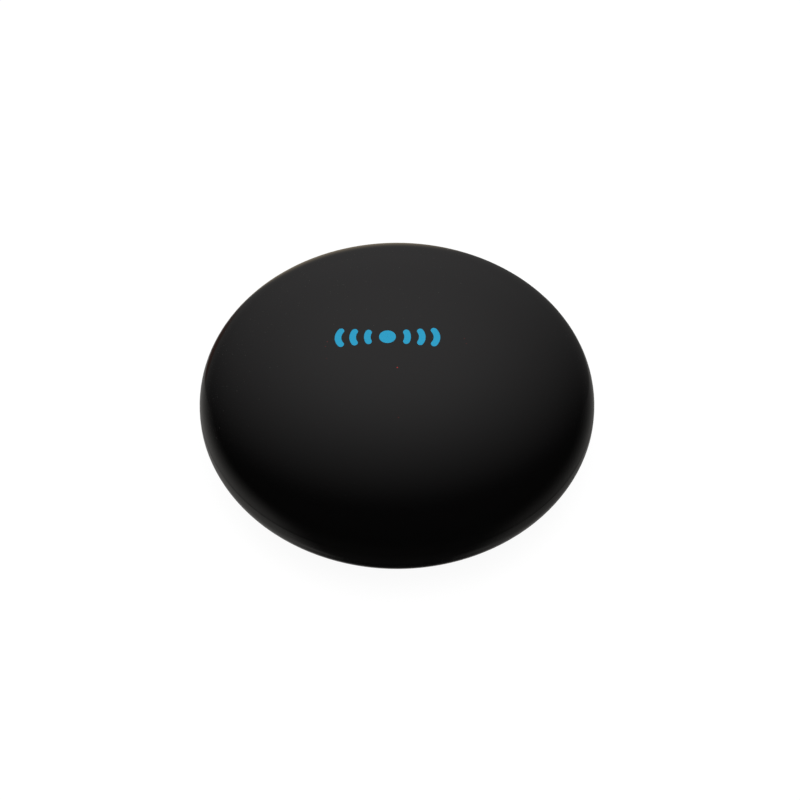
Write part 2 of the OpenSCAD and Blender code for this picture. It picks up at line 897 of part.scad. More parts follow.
module main_board() {
    color("#1f5a3c")
        difference() {
            translate([0, 0, board_h])
                linear_extrude(board_t)
                    board_outline();
            translate([0, 0, board_h - overrun])
                linear_extrude(board_t + 2 * overrun) {
                    board_screw_places()
                        circle(d = board_screw_d + 2 * board_hole_gap, $fn = hole_fn);
                    around(led_count, lead_drop_r, 0)
                        lead_pair()
                            circle(d = lead_hole_d, $fn = hole_fn);
                    translate(top_led_place)
                        rotate([0, 0, 90])
                            lead_pair()
                                circle(d = lead_hole_d, $fn = hole_fn);
                    translate(receiver_place)
                        for (i = [-1, 0, 1])
                            translate([i * receiver_pitch, 0])
                                circle(d = lead_hole_d, $fn = hole_fn);
                    usb_tab_places()
                        square(
                            [usb_sheet_t + 2 * board_hole_gap, usb_tab_l + 2 * board_hole_gap],
                            center = true
                        );
                }
        }
}

// Castellated radio board with a screened half and an antenna end
module wifi_board() {
    color("#173f5f")
        over_board()
            translate(wifi_place)
                difference() {
                    translate([-wifi_w / 2, -wifi_l / 2, 0])
                        cube([wifi_w, wifi_l, wifi_t]);
                    for (side = [-1, 1], i = [1:wifi_pads_per_side])
                        translate([side * wifi_w / 2, i * wifi_pad_pitch - wifi_l / 2, -overrun])
                            cylinder(
                                d = wifi_pad_pitch / 2,
                                h = wifi_t + 2 * overrun,
                                $fn = hole_fn
                            );
                }
}

module shield_place() {
    margin = (wifi_w - shield_w) / 2;
    over_board()
        translate(wifi_place)
            translate([0, margin / 2 - (wifi_l - shield_l) / 2, wifi_t])
                children();
}

module wifi_chip() {
    color("#202124")
        shield_place()
            chip_block([wifi_chip_w, wifi_chip_w, wifi_chip_t]);
}

module wifi_shield() {
    color("#b9bcc2")
        shield_place()
            difference() {
                linear_extrude(shield_h)
                    rounded_rectangle(shield_w, shield_l, 2 * shield_sheet_t);
                translate([0, 0, -overrun])
                    linear_extrude(shield_h - shield_sheet_t + overrun)
                        rounded_rectangle(
                            shield_w - 2 * shield_sheet_t,
                            shield_l - 2 * shield_sheet_t,
                            shield_sheet_t
                        );
            }
}

// Copper line that runs to and fro across the free end of the radio board
module wifi_antenna() {
    run = (wifi_l - shield_l) * 0.5;
    span = wifi_w * 0.7;
    pitch = span / (2 * antenna_loops);
    color("#b87333")
        over_board()
            translate(wifi_place)
                translate([-span / 2, wifi_l / 2 - run * 1.2, wifi_t])
                    linear_extrude(antenna_line_t)
                        for (i = [0:2 * antenna_loops]) {
                            translate([i * pitch - antenna_line_w / 2, 0])
                                square([antenna_line_w, run]);
                            if (i < 2 * antenna_loops)
                                translate([
                                    i * pitch - antenna_line_w / 2,
                                    i % 2 == 0 ? run - antenna_line_w : 0
                                ])
                                    square([pitch + antenna_line_w, antenna_line_w]);
                        }
}

// Section of the socket: wide against the board, with its far corners cut off
module usb_section(inset) {
    w = usb_w / 2 - inset;
    h = usb_h / 2 - inset;
    bevel = usb_h / 3;
    polygon([[-w, h], [w, h], [w, bevel - h], [w - bevel, -h], [bevel - w, -h], [-w, bevel - h]]);
}

module usb_shell() {
    color("#c4c7cc") {
        translate([0, 0, usb_axis_h])
            bar_along_y(usb_back_y, usb_mouth_y)
                difference() {
                    usb_section(0);
                    usb_section(usb_sheet_t);
                }
        translate([0, 0, board_h - usb_sheet_t / 2])
            linear_extrude(board_t * 0.8)
                usb_tab_places()
                    square([usb_sheet_t, usb_tab_l], center = true);
    }
}

module usb_contact_places() {
    for (i = [-2:2])
        translate([i * usb_contact_pitch, 0, 0])
            children();
}

module usb_tongue() {
    fit = usb_sheet_t + usb_contact_gap;
    tongue_w = 6 * usb_contact_pitch;
    color("#17181a")
        translate([0, 0, usb_axis_h])
            difference() {
                union() {
                    bar_along_y(usb_back_y, usb_back_y + usb_base_l)
                        usb_section(fit);
                    bar_along_y(usb_back_y, usb_mouth_y - usb_sheet_t)
                        square([tongue_w, usb_tongue_t], center = true);
                }
                usb_contact_places()
                    bar_along_y(usb_back_y - overrun, usb_back_y + usb_base_l)
                        translate([0, -usb_tongue_t / 2 - usb_contact_t / 2])
                            square(
                                [
                                    usb_contact_w + 2 * usb_contact_gap,
                                    usb_contact_t + 2 * usb_contact_gap
                                ],
                                center = true
                            );
            }
}

// Five springs on the tongue, each with a tail that drops to the board behind the socket
module usb_contacts() {
    tail_l = usb_base_l / 2;
    color("#d4af37")
        translate([0, 0, usb_axis_h - usb_tongue_t / 2])
            usb_contact_places() {
                bar_along_y(usb_back_y - tail_l, usb_mouth_y - 2 * usb_sheet_t)
                    translate([0, -usb_contact_t / 2])
                        square([usb_contact_w, usb_contact_t], center = true);
                translate([-usb_contact_w / 2, usb_back_y - tail_l, -usb_contact_t])
                    cube([usb_contact_w, usb_contact_t, usb_h / 2 + usb_tongue_t / 2 + usb_contact_t]);
            }
}

// Moulded LED standing on z = 0: flange with its flat, round body and domed end
module led_body() {
    difference() {
        union() {
            cylinder(d = led_flange_d, h = led_flange_t, $fn = round_fn);
            cylinder(d = led_d, h = led_l - led_d / 2, $fn = round_fn);
            translate([0, 0, led_l - led_d / 2])
                sphere(d = led_d, $fn = round_fn);
        }
        translate([-led_flange_d / 2, led_flange_d * led_flat_share, -overrun])
            cube([led_flange_d, led_flange_d, led_flange_t + 2 * overrun]);
    }
}

module ir_led(i) {
    color("#d9c7e6")
        rotate([0, 0, 360 * (i - 1) / led_count])
            translate([led_back_r, 0, led_axis_h])
                rotate([0, 90, 0])
                    led_body();
}

module top_ir_led() {
    color("#d9c7e6")
        over_board()
            translate(top_led_place)
                translate([0, 0, top_led_lift])
                    led_body();
}

// Leg that leaves the LED level, bends down and passes through the board
module bent_leg() {
    bend_x = led_back_r - lead_stub;
    drop_top_h = led_axis_h - lead_t / 2 - lead_bend_r;
    translate([bend_x, -lead_t / 2, led_axis_h - lead_t / 2])
        cube([lead_stub, lead_t, lead_t]);
    translate([bend_x, lead_t / 2, drop_top_h])
        rotate([90, 0, 0])
            rotate([0, 0, 90])
                rotate_extrude(angle = 90, $fn = round_fn)
                    translate([lead_bend_r, 0])
                        square([lead_t, lead_t]);
    translate([lead_drop_r - lead_t / 2, -lead_t / 2, board_h - lead_tail])
        cube([lead_t, lead_t, drop_top_h - board_h + lead_tail]);
}

module straight_leg(top_h) {
    translate([-lead_t / 2, -lead_t / 2, board_h - lead_tail])
        cube([lead_t, lead_t, top_h - board_h + lead_tail]);
}

module led_leads() {
    color("#c9ccd2") {
        around(led_count, 0, 0)
            lead_pair()
                bent_leg();
        translate(top_led_place)
            rotate([0, 0, 90])
                lead_pair()
                    straight_leg(board_top_h + top_led_lift);
    }
}

// Upright receiver whose round lens faces the front
module ir_receiver() {
    shoulder = receiver_w / 6;
    color("#1a1416")
        over_board()
            translate(receiver_place)
                translate([0, 0, receiver_lift]) {
                    bar_along_y(-receiver_t / 2, receiver_t / 2)
                        polygon([
                            [-receiver_w / 2, 0],
                            [receiver_w / 2, 0],
                            [receiver_w / 2, receiver_h - shoulder],
                            [receiver_w / 2 - shoulder, receiver_h],
                            [shoulder - receiver_w / 2, receiver_h],
                            [-receiver_w / 2, receiver_h - shoulder]
                        ]);
                    translate([0, -receiver_t / 2, receiver_h * 0.6])
                        sphere(d = receiver_lens_d, $fn = round_fn);
                }
}

module receiver_leads() {
    color("#c9ccd2")
        translate(receiver_place)
            for (i = [-1, 0, 1])
                translate([i * receiver_pitch, 0, 0])
                    straight_leg(board_top_h + receiver_lift);
}

module status_led() {
    color("#e9e4c8")
        over_board()
            translate(status_led_place) {
                base_t = status_led_size[2] / 3;
                chip_block([status_led_size[0], status_led_size[1], base_t]);
                translate([0, 0, base_t])
                    chip_block([
                        status_led_size[0] * 0.6,
                        status_led_size[1],
                        status_led_size[2] - base_t
                    ]);
            }
}

// A chip's body stands off the board by one leg thickness
module ir_controller() {
    color("#202124")
        over_board()
            translate(controller_place)
                translate([0, 0, pin_t])
                    difference() {
                        chip_block(controller_size);
                        translate([0, controller_size[1] / 2, controller_size[2]])
                            sphere(d = controller_size[0] / 4, $fn = round_fn);
                    }
}

module leg_rows(size, count, w, reach) {
    pitch = size[1] / count;
    for (side = [-1, 1], i = [0:count - 1])
        translate([side * size[0] / 2, (i - (count - 1) / 2) * pitch, 0])
            mirror([side < 0 ? 1 : 0, 0, 0])
                gull_leg(w, reach, size[2] / 2);
}

module controller_pins() {
    w = controller_size[1] / controller_pins_per_side / 3;
    color("#c9ccd2")
        over_board()
            translate(controller_place)
                leg_rows(controller_size, controller_pins_per_side, w, controller_size[0] / 4);
}

module voltage_regulator() {
    color("#202124")
        under_board()
            translate(regulator_place)
                translate([0, 0, pin_t])
                    chip_block(regulator_size);
}

// Three legs on one side and the broad heat tab on the other
module regulator_leads() {
    pitch = regulator_size[0] / 3;
    color("#c9ccd2")
        under_board()
            translate(regulator_place) {
                for (i = [-1, 0, 1])
                    translate([i * pitch, -regulator_size[1] / 2, 0])
                        rotate([0, 0, -90])
                            gull_leg(pitch / 3, regulator_reach, regulator_size[2] / 2);
                translate([0, regulator_size[1] / 2, 0])
                    rotate([0, 0, 90])
                        gull_leg(regulator_size[0] / 2, regulator_reach, regulator_size[2] / 2);
            }
}

// Aluminium can with the rolled groove near its foot, on a square plastic base
module capacitor_base() {
    w = bulk_capacitor_d * 1.05;
    corner = w / 6;
    color("#202124")
        over_board()
            translate(bulk_capacitor_place)
                linear_extrude(capacitor_base_t)
                    polygon([
                        [-w / 2, -w / 2],
                        [w / 2, -w / 2],
                        [w / 2, w / 2 - corner],
                        [w / 2 - corner, w / 2],
                        [corner - w / 2, w / 2],
                        [-w / 2, w / 2 - corner]
                    ]);
}

module bulk_capacitor() {
    r = bulk_capacitor_d / 2;
    can_h = bulk_capacitor_h - capacitor_base_t;
    groove = r / 8;
    color("#c4c7cc")
        over_board()
            translate(bulk_capacitor_place)
                translate([0, 0, capacitor_base_t])
                    rotate_extrude($fn = round_fn)
                        polygon([
                            [0, 0],
                            [r, 0],
                            [r, groove],
                            [r - groove, 2 * groove],
                            [r, 3 * groove],
                            [r, can_h - groove],
                            [r - groove, can_h],
                            [0, can_h]
                        ]);
}

module transistor_places() {
    over_board()
        for (share = transistor_place_shares)
            translate(on_board(share))
                children();
}

module driver_transistors() {
    color("#202124")
        transistor_places()
            translate([0, 0, pin_t])
                chip_block(transistor_size);
}

module transistor_leads() {
    reach = transistor_size[1] / 2;
    w = transistor_size[0] / 7;
    color("#c9ccd2")
        transistor_places() {
            for (side = [-1, 1])
                translate([side * transistor_size[0] / 3, -transistor_size[1] / 2, 0])
                    rotate([0, 0, -90])
                        gull_leg(w, reach, transistor_size[2] / 2);
            translate([0, transistor_size[1] / 2, 0])
                rotate([0, 0, 90])
                    gull_leg(w, reach, transistor_size[2] / 2);
        }
}

// One current-limiting resistor for each LED of the ring, in pairs between the LEDs
module chip_resistors() {
    resistor_r = board_screw_circle / 2;
    color("#2b2c30")
        over_board()
            around(led_count / 2, resistor_r, case_angle)
                for (side = [-1, 1])
                    translate([side * resistor_size[0], 0, 0])
                        rotate([0, 0, 90])
                            chip_block(resistor_size);
}

module chip_capacitors() {
    color("#b58f62")
        under_board()
            for (place = chip_capacitor_places)
                translate(place)
                    chip_block(chip_capacitor_size);
}

module protection_diode() {
    color("#202124")
        under_board()
            translate(diode_place)
                chip_block(diode_size);
}

top_cover();
base_cover();
foot_ring();
case_screws();
reset_button();
switch_body();
switch_plate();
switch_plunger();
switch_pins();
main_board();
board_screws();
wifi_board();
wifi_chip();
wifi_shield();
wifi_antenna();
usb_shell();
usb_tongue();
usb_contacts();
for (i = [1:led_count])
    ir_led(i);
top_ir_led();
led_leads();
ir_receiver();
receiver_leads();
status_led();
ir_controller();
controller_pins();
voltage_regulator();
regulator_leads();
bulk_capacitor();
capacitor_base();
driver_transistors();
transistor_leads();
chip_resistors();
chip_capacitors();
protection_diode();
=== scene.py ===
import math

import bmesh
import bpy
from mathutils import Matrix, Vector
from mathutils.bvhtree import BVHTree


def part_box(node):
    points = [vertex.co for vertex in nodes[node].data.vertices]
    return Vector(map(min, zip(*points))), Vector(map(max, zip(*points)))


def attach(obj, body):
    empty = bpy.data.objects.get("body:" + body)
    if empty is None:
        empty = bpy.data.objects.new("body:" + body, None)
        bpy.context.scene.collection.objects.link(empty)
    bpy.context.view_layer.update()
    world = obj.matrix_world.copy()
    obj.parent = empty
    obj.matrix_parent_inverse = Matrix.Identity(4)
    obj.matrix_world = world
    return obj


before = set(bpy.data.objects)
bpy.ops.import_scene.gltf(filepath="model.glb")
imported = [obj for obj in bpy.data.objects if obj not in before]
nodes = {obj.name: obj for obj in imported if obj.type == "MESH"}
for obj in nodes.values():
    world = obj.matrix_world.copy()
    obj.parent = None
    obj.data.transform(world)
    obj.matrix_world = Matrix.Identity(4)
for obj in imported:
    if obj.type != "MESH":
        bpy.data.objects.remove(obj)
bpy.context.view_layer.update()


# Camera: the photograph looks down at the front from 50.5 degrees, ten casing radii away.
# The widest line's centre lies at this pixel of the photograph's 800 by 800.
view_elevation = math.radians(50.5)
view_distance = 0.55
view_lens = 88.5
sensor_width = 36.0
view_centre_px = (397.0, 400.05)
picture_px = 800
equator_height = 0.0155


def camera():
    made = bpy.data.objects.new("camera", bpy.data.cameras.new("camera"))
    made.data.lens = view_lens
    made.data.sensor_width = sensor_width
    made.data.shift_x = 0.5 - view_centre_px[0] / picture_px
    made.data.shift_y = view_centre_px[1] / picture_px - 0.5
    back = Vector((0.0, -math.cos(view_elevation), math.sin(view_elevation)))
    made.location = Vector((0.0, 0.0, equator_height)) + back * view_distance
    made.rotation_euler = (math.pi / 2 - view_elevation, 0.0, 0.0)
    bpy.context.collection.objects.link(made)
    bpy.context.scene.camera = made


camera()


# Studio: a plain white table top, lit by a broad soft box above and by soft glows around it.
# The casing mirrors them: a wide glow with a brighter core above the back, and a pale band below
# the rim. The band ends before the front, and is faint behind, with a warm patch and a red ember.
table_size = 6.0
table_height = -0.00002
table_white = 0.06
table_roughness = 0.9
table_glow = 0.95
room_glow = 0.011
# A glow's turn to the right of the back, its height, its strength and how tight it is.
glow_wide = (-4.2, 40.9, 0.446, 2.67)
glow_core = (-0.7, 52.0, 0.13, 18.6)
glow_left = (-40.0, -5.0, 0.01, 12.0)
glow_right = (40.0, -5.0, 0.03, 14.0)
glow_white = (1.0, 0.975, 0.98)
band_middle = 0.185
band_lean = (-0.09, 0.05, 0.0)
band_white = (1.0, 0.975, 0.935)
band_depth = (-0.05, 0.68)
band_foot = (0.9, 0.995)
band_ends = (-0.8, -0.3)
band_front = 0.1
gap_slope = 0.5
gap_edge = (0.395, 0.44)
gap_depth = 0.6
patch_turn = math.radians(-6.0)
patch_spread = (0.97, 0.999)
patch_depth = (0.15, 0.5)
patch_foot = (0.6, 0.8)
patch_glow = 0.25
patch_warm = (1.0, 0.8, 0.52)
ember_towards = (-0.5, 0.72, -0.48)
ember_spread = (0.97, 0.997)
ember_red = (0.078, 0.044, 0.038)
soft_box_size = 1.6
soft_box_height = 1.5
soft_box_power = 40.0


def step(tree, kind, operation, *inputs):
    """Adds one calculation to a node tree and returns its result."""
    made = tree.nodes.new(kind)
    made.operation = operation
    for socket, given in zip(made.inputs, inputs):
        if isinstance(given, bpy.types.NodeSocket):
            tree.links.new(given, socket)
        else:
            socket.default_value = given
    return made.outputs["Value"] if "Value" in made.outputs else made.outputs[0]


def number(tree, operation, *inputs):
    """A calculation with numbers."""
    return step(tree, "ShaderNodeMath", operation, *inputs)


def vectors(tree, operation, *inputs):
    """A calculation with directions or places."""
    return step(tree, "ShaderNodeVectorMath", operation, *inputs)


def product(tree, result, *factors):
    for factor in factors:
        result = number(tree, "MULTIPLY", result, factor)
    return result


def parts(tree, given):
    """The three parts of a direction or a place."""
    made = tree.nodes.new("ShaderNodeSeparateXYZ")
    tree.links.new(given, made.inputs[0])
    return made.outputs


def rise(tree, given, start, end):
    """A value that goes smoothly from 0 at start to 1 at end."""
    made = tree.nodes.new("ShaderNodeMapRange")
    made.interpolation_type = "SMOOTHSTEP"
    tree.links.new(given, made.inputs["Value"])
    made.inputs["From Min"].default_value = start
    made.inputs["From Max"].default_value = end
    return made.outputs["Result"]


def between(tree, given, low, high):
    """Turns 0 to 1 into low to high."""
    made = tree.nodes.new("ShaderNodeMapRange")
    tree.links.new(given, made.inputs["Value"])
    made.inputs["To Min"].default_value = low
    made.inputs["To Max"].default_value = high
    return made.outputs["Result"]


def fall(tree, given, start, end):
    """A value that goes smoothly from 1 at start to 0 at end."""
    return between(tree, rise(tree, given, start, end), 1.0, 0.0)


def downward(tree, direction):
    """1 straight down, 0 on the level and -1 straight up."""
    return number(tree, "MULTIPLY", parts(tree, direction)[2], -1.0)


def lamp(tree, strength, colour=(1.0, 1.0, 1.0)):
    """Light of one colour, with a strength that may vary with the direction."""
    made = tree.nodes.new("ShaderNodeBackground")
    made.inputs["Color"].default_value = (*colour, 1.0)
    if isinstance(strength, bpy.types.NodeSocket):
        tree.links.new(strength, made.inputs["Strength"])
    else:
        made.inputs["Strength"].default_value = strength
    return made.outputs[0]


def joined(tree, kind, *given):
    """Adds two shaders together, or goes from one to the other with a share."""
    made = tree.nodes.new(kind)
    for socket, part in zip(made.inputs, given):
        tree.links.new(part, socket)
    return made.outputs[0]


def soft_glow(tree, direction, turn, height, strength, tightness):
    """Light that is strongest in one direction and falls off softly around it."""
    turn, height = math.radians(turn), math.radians(height)
    level = math.cos(height)
    middle = (math.sin(turn) * level, math.cos(turn) * level, math.sin(height))
    near = number(tree, "MAXIMUM", vectors(tree, "DOT_PRODUCT", direction, middle), 0.0)
    near = number(tree, "POWER", near, tightness)
    return lamp(tree, product(tree, near, strength), glow_white)


def gap_behind(tree, direction):
    """1 in the gap of the band behind the casing, and 0 outside it."""
    back, up = parts(tree, direction)[1:]
    return rise(tree, number(tree, "MULTIPLY_ADD", up, gap_slope, back), *gap_edge)


def band_below(tree, direction, level):
    """The pale band, which is stronger on the left, open at the front and faint behind."""
    down = downward(tree, direction)
    leaning = number(tree, "ADD", vectors(tree, "DOT_PRODUCT", direction, band_lean), band_middle)
    below = rise(tree, down, *band_depth)
    above_foot = fall(tree, down, *band_foot)
    aside = between(tree, rise(tree, parts(tree, level)[1], *band_ends), band_front, 1.0)
    beside_gap = between(tree, gap_behind(tree, direction), 1.0, 1.0 - gap_depth)
    return lamp(tree, product(tree, leaning, below, above_foot, aside, beside_gap), band_white)


def warm_patch(tree, direction, level):
    """Light that the table behind the casing sends back, low and narrow."""
    down = downward(tree, direction)
    middle = (math.sin(patch_turn), math.cos(patch_turn), 0.0)
    near = rise(tree, vectors(tree, "DOT_PRODUCT", level, middle), *patch_spread)
    below = rise(tree, down, *patch_depth)
    above_foot = fall(tree, down, *patch_foot)
    return lamp(tree, product(tree, near, below, above_foot, patch_glow), patch_warm)


def studio_air():
    """What the casing mirrors, and a plain white backdrop behind the table."""
    air = bpy.data.worlds.new("studio_air")
    air.use_nodes = True
    tree = air.node_tree
    direction = tree.nodes.new("ShaderNodeTexCoord").outputs["Generated"]
    level = vectors(tree, "NORMALIZE", vectors(tree, "MULTIPLY", direction, (1.0, 1.0, 0.0)))
    glows = (glow_wide, glow_core, glow_left, glow_right)
    lamps = [soft_glow(tree, direction, *glow) for glow in glows]
    lamps += [band_below(tree, direction, level), warm_patch(tree, direction, level)]
    light = lamp(tree, room_glow)
    for more in lamps:
        light = joined(tree, "ShaderNodeAddShader", light, more)
    ember = rise(tree, vectors(tree, "DOT_PRODUCT", direction, ember_towards), *ember_spread)
    ember = product(tree, ember, gap_behind(tree, direction))
    light = joined(tree, "ShaderNodeMixShader", ember, light, lamp(tree, 1.0, ember_red))
    seen = tree.nodes.new("ShaderNodeLightPath").outputs["Is Camera Ray"]
    light = joined(tree, "ShaderNodeMixShader", seen, light, lamp(tree, 1.0))
    tree.links.new(light, tree.nodes["World Output"].inputs["Surface"])
    return air


def table_paint():
    """Matt white that glows a little; from below it is clear and hides nothing."""
    made = bpy.data.materials.new("table_white")
    made.use_nodes = True
    # Sampled as a lamp, the two halves of so large a table light the underside unevenly.
    made.cycles.emission_sampling = "NONE"
    tree = made.node_tree
    shader = tree.nodes["Principled BSDF"]
    shader.inputs["Base Color"].default_value = (table_white, table_white, table_white, 1.0)
    shader.inputs["Roughness"].default_value = table_roughness
    shader.inputs["Specular IOR Level"].default_value = 0.0
    shader.inputs["Emission Color"].default_value = (1.0, 1.0, 1.0, 1.0)
    shader.inputs["Emission Strength"].default_value = table_glow
    below = tree.nodes.new("ShaderNodeNewGeometry").outputs["Backfacing"]
    clear = tree.nodes.new("ShaderNodeBsdfTransparent").outputs[0]
    seen = joined(tree, "ShaderNodeMixShader", below, shader.outputs[0], clear)
    tree.links.new(seen, tree.nodes["Material Output"].inputs["Surface"])
    return made


def table_top():
    half = table_size / 2
    sides = ((-1, -1), (1, -1), (1, 1), (-1, 1))
    mesh = bpy.data.meshes.new("table_top")
    mesh.from_pydata([(x * half, y * half, table_height) for x, y in sides], [], [(0, 1, 2, 3)])
    mesh.materials.append(table_paint())
    made = bpy.data.objects.new("table_top", mesh)
    bpy.context.collection.objects.link(made)
    made.visible_glossy = False


def soft_box():
    box = bpy.data.lights.new("soft_box", "AREA")
    box.size = soft_box_size
    box.energy = soft_box_power
    made = bpy.data.objects.new("soft_box", box)
    made.location = (0.0, 0.0, soft_box_height)
    made.visible_glossy = False
    made.visible_camera = False
    bpy.context.collection.objects.link(made)


table_top()
soft_box()
bpy.context.scene.world = studio_air()
bpy.context.scene.view_settings.view_transform = "Standard"


# Base cover: the lower shell, moulded in one piece from polished near-black plastic that lets deep
# red through. Its outside is glossy and carries a little dust; the flat underside is spark-textured
# to hide scuffs. Painted glints of the flash on the infrared LEDs glow as deep red spots on the top
# cover.
casing_black = (0.001, 0.00095, 0.00095)
casing_roughness = (0.02, 0.045)
polish_grain = 0.004
ripple_size = 0.0035
ripple_depth = 4e-7
dust_grey = (0.034, 0.032, 0.03)
dust_spacing = 0.0009
dust_size = 0.13
dust_towards = (-0.6, 0.8, 0.0)
dust_drift = (0.0, 0.035)
dust_gaps = (1.0, 0.17)
dust_facing = (0.2, 0.7)
dust_roughness = 0.8
# A painted glint's place inside the casing, and its strength.
painted_glints = (
    ((0.0001, 0.0072, 0.0211), 3.0),
    ((0.0191, 0.018, 0.0211), 0.32),
    ((0.0196, 0.0161, 0.0211), 0.26),
    ((-0.0197, 0.0168, 0.0211), 0.5),
    ((-0.0202, 0.015, 0.0211), 0.37),
    ((-0.0198, 0.0105, 0.0211), 0.2),
    ((0.0004, -0.0108, 0.0211), 0.32),
)
painted_glint_red = (0.18, 0.008, 0.007)
painted_glint_size = 0.00028
underside_height = 0.0012
underside_roughness = 0.5
seam_merge = 1e-6
corner_angle = math.radians(25.0)


def finish(name, colour, metallic=0.0):
    """Starts a finish with the values that are the same all over it."""
    made = bpy.data.materials.new(name)
    made.use_nodes = True
    shader = made.node_tree.nodes["Principled BSDF"]
    shader.inputs["Base Color"].default_value = (*colour, 1.0)
    shader.inputs["Metallic"].default_value = metallic
    return made, made.node_tree, shader


def where(tree):
    """The place on the piece, in metres."""
    return tree.nodes.new("ShaderNodeTexCoord").outputs["Object"]


def cloudy(tree, size, detail=2.0, stretch=(1.0, 1.0, 1.0)):
    """A soft random value from 0 to 1 whose patches have the given size in metres."""
    made = tree.nodes.new("ShaderNodeTexNoise")
    tree.links.new(vectors(tree, "MULTIPLY", where(tree), stretch), made.inputs["Vector"])
    made.inputs["Scale"].default_value = 1.0 / size
    made.inputs["Detail"].default_value = detail
    return made.outputs["Fac"]


def tint(tree, share, colour_a, colour_b):
    """A colour that goes from a to b with the share."""
    made = tree.nodes.new("ShaderNodeMix")
    made.data_type = "RGBA"
    tree.links.new(share, made.inputs["Factor"])
    for socket, given in ((made.inputs[6], colour_a), (made.inputs[7], colour_b)):
        if isinstance(given, bpy.types.NodeSocket):
            tree.links.new(given, socket)
        else:
            socket.default_value = (*given, 1.0)
    return made.outputs[2]


def relief(tree, shader, height, depth):
    """Raises the surface by depth metres where the height is 1."""
    made = tree.nodes.new("ShaderNodeBump")
    made.inputs["Distance"].default_value = depth
    tree.links.new(height, made.inputs["Height"])
    tree.links.new(made.outputs["Normal"], shader.inputs["Normal"])


def through_casing(place):
    """The point on the top cover through which the camera sees a place inside it."""
    top = BVHTree.FromObject(nodes["top_cover"], bpy.context.evaluated_depsgraph_get())
    eye = bpy.context.scene.camera.location
    return top.ray_cast(eye, (Vector(place) - eye).normalized())[0]


def paint_led_glints(tree, shader):
    """Painted glints: deep red glowing spots on the cover, where the LEDs under it would catch the
    flash.
    """
    total = 0.0
    for place, strength in painted_glints:
        away = vectors(tree, "DISTANCE", where(tree), through_casing(place))
        total = number(tree, "MULTIPLY_ADD", fall(tree, away, 0.0, painted_glint_size), strength, total)
    shader.inputs["Emission Color"].default_value = (*painted_glint_red, 1.0)
    tree.links.new(total, shader.inputs["Emission Strength"])


def dust_specks(tree):
    """1 on a speck of dust: most of them lie at the back left, and none on a steep side."""
    cells = tree.nodes.new("ShaderNodeTexVoronoi")
    tree.links.new(where(tree), cells.inputs["Vector"])
    cells.inputs["Scale"].default_value = 1.0 / dust_spacing
    chance = tree.nodes.new("ShaderNodeSeparateColor")
    tree.links.new(cells.outputs["Color"], chance.inputs[0])
    size = product(tree, chance.outputs["Green"], dust_size)
    speck = number(tree, "LESS_THAN", cells.outputs["Distance"], size)
    drift = rise(tree, vectors(tree, "DOT_PRODUCT", where(tree), dust_towards), *dust_drift)
    gaps = between(tree, drift, *dust_gaps)
    settled = number(tree, "GREATER_THAN", chance.outputs["Red"], gaps)
    normal = tree.nodes.new("ShaderNodeNewGeometry").outputs["Normal"]
    return product(tree, speck, settled, rise(tree, parts(tree, normal)[2], *dust_facing))


def casing_plastic():
    made, tree, shader = finish("casing_gloss", casing_black)
    # Painted glints of the LEDs glow as deep red spots in the cover's finish.
    paint_led_glints(tree, shader)
    dust = dust_specks(tree)
    tree.links.new(tint(tree, dust, casing_black, dust_grey), shader.inputs["Base Color"])
    textured = number(tree, "LESS_THAN", parts(tree, where(tree))[2], underside_height)
    polished = between(tree, cloudy(tree, polish_grain), *casing_roughness)
    rough = number(tree, "MAXIMUM", product(tree, textured, underside_roughness), polished)
    rough = number(tree, "MAXIMUM", rough, product(tree, dust, dust_roughness))
    tree.links.new(rough, shader.inputs["Roughness"])
    relief(tree, shader, cloudy(tree, ripple_size, 0.0), ripple_depth)
    return made


def smooth_moulding():
    """Joins the CAD faces along their edges and shades them round, up to a real corner."""
    tree = bpy.data.node_groups.new("smooth_moulding", "GeometryNodeTree")
    tree.interface.new_socket("Mesh", in_out="INPUT", socket_type="NodeSocketGeometry")
    tree.interface.new_socket("Mesh", in_out="OUTPUT", socket_type="NodeSocketGeometry")
    merged = tree.nodes.new("GeometryNodeMergeByDistance")
    merged.inputs["Distance"].default_value = seam_merge
    plain = tree.nodes.new("GeometryNodeRemoveAttribute")
    plain.inputs["Name"].default_value = "custom_normal"
    soft = tree.nodes.new("GeometryNodeSetShadeSmooth")
    crisp = tree.nodes.new("GeometryNodeSetShadeSmooth")
    crisp.domain = "EDGE"
    crisp.inputs["Shade Smooth"].default_value = False
    angle = tree.nodes.new("GeometryNodeInputMeshEdgeAngle").outputs["Unsigned Angle"]
    sharp = tree.nodes.new("FunctionNodeCompare")
    sharp.operation = "GREATER_THAN"
    sharp.inputs[1].default_value = corner_angle
    tree.links.new(angle, sharp.inputs[0])
    tree.links.new(sharp.outputs[0], crisp.inputs["Selection"])
    shape = tree.nodes.new("NodeGroupInput").outputs[0]
    for made in (merged, plain, soft, crisp):
        tree.links.new(shape, made.inputs["Geometry"])
        shape = made.outputs["Geometry"]
    tree.links.new(shape, tree.nodes.new("NodeGroupOutput").inputs[0])
    return tree


moulding = smooth_moulding()


def dress(material, *names):
    """Gives CAD pieces their finish and rounds their shading."""
    for name in names:
        piece = nodes[name]
        for holder in piece.material_slots:
            holder.link = "OBJECT"
            holder.material = material
        piece.modifiers.new("moulding", "NODES").node_group = moulding


casing_gloss = casing_plastic()
dress(casing_gloss, "base_cover")


# Main board: green glass-fibre laminate with solder mask over its copper tracks.
# The tracks run side by side and turn squarely; a speck of bare copper ends a few of them.
# It sits on the standoffs of the base cover under four pan-head screws.
mask_green = (0.012, 0.085, 0.04)
mask_roughness = (0.25, 0.38)
mask_mottle = 0.003
track_green = (0.028, 0.15, 0.07)
track_field = 0.0095
track_scatter = 0.7
track_count = 11.0
track_share = 0.55
track_height = 0.00003
via_copper = (0.55, 0.32, 0.14)
via_metallic = 0.7
via_spacing = 0.0042
via_size = 0.075


